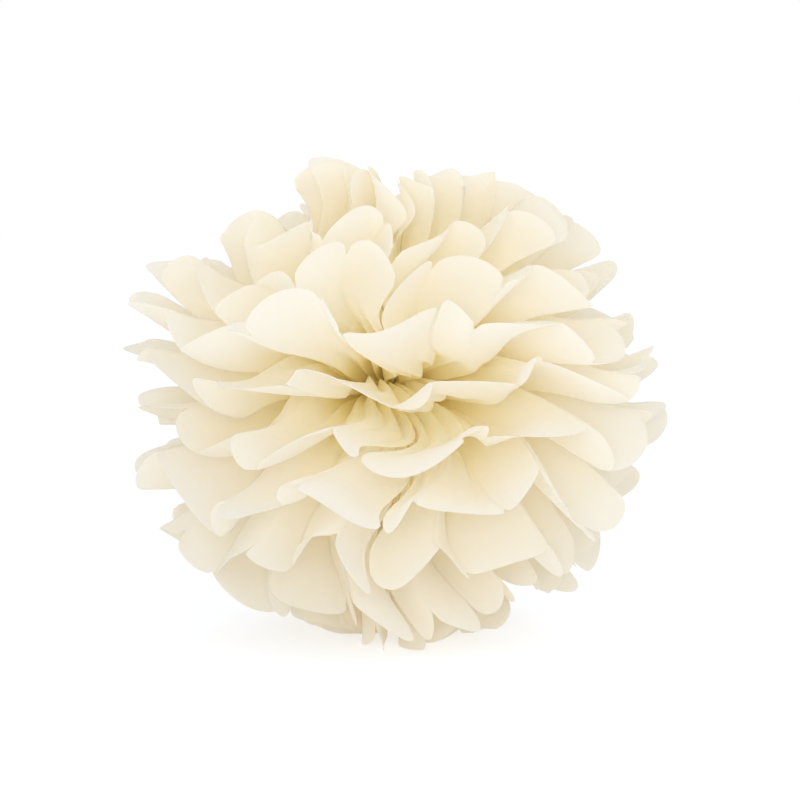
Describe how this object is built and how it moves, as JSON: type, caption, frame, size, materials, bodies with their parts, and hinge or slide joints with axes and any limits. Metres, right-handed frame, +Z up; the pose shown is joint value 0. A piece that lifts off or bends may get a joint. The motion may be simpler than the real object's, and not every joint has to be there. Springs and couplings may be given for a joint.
{
  "type": "tissue paper pom pom",
  "caption": "Round tissue paper pom pom: pleated sheets with scalloped ends, pinched at the middle by a twisted wire and fluffed into a ball of petals.",
  "frame": {"origin": "middle of the ball's footprint, on the surface that it rests on", "axes": "+Z up; +X along the fold lines of the sheets, so the seams between the two half fans face -Y, the front, and +Y"},
  "size_m": [0.253, 0.2498, 0.2211],
  "materials": {
    "tissue": "matt cream tissue paper, lightly crinkled",
    "wire": "satin"
  },
  "bodies": {
    "root": {"tissue_sheet_01": "tissue", "tissue_sheet_02": "tissue", "tissue_sheet_03": "tissue", "tissue_sheet_04": "tissue", "tissue_sheet_05": "tissue", "tissue_sheet_06": "tissue", "tissue_sheet_07": "tissue", "tissue_sheet_08": "tissue", "tissue_sheet_09": "tissue", "tissue_sheet_10": "tissue", "tie_wire": "wire"}
  },
  "joints": []
}
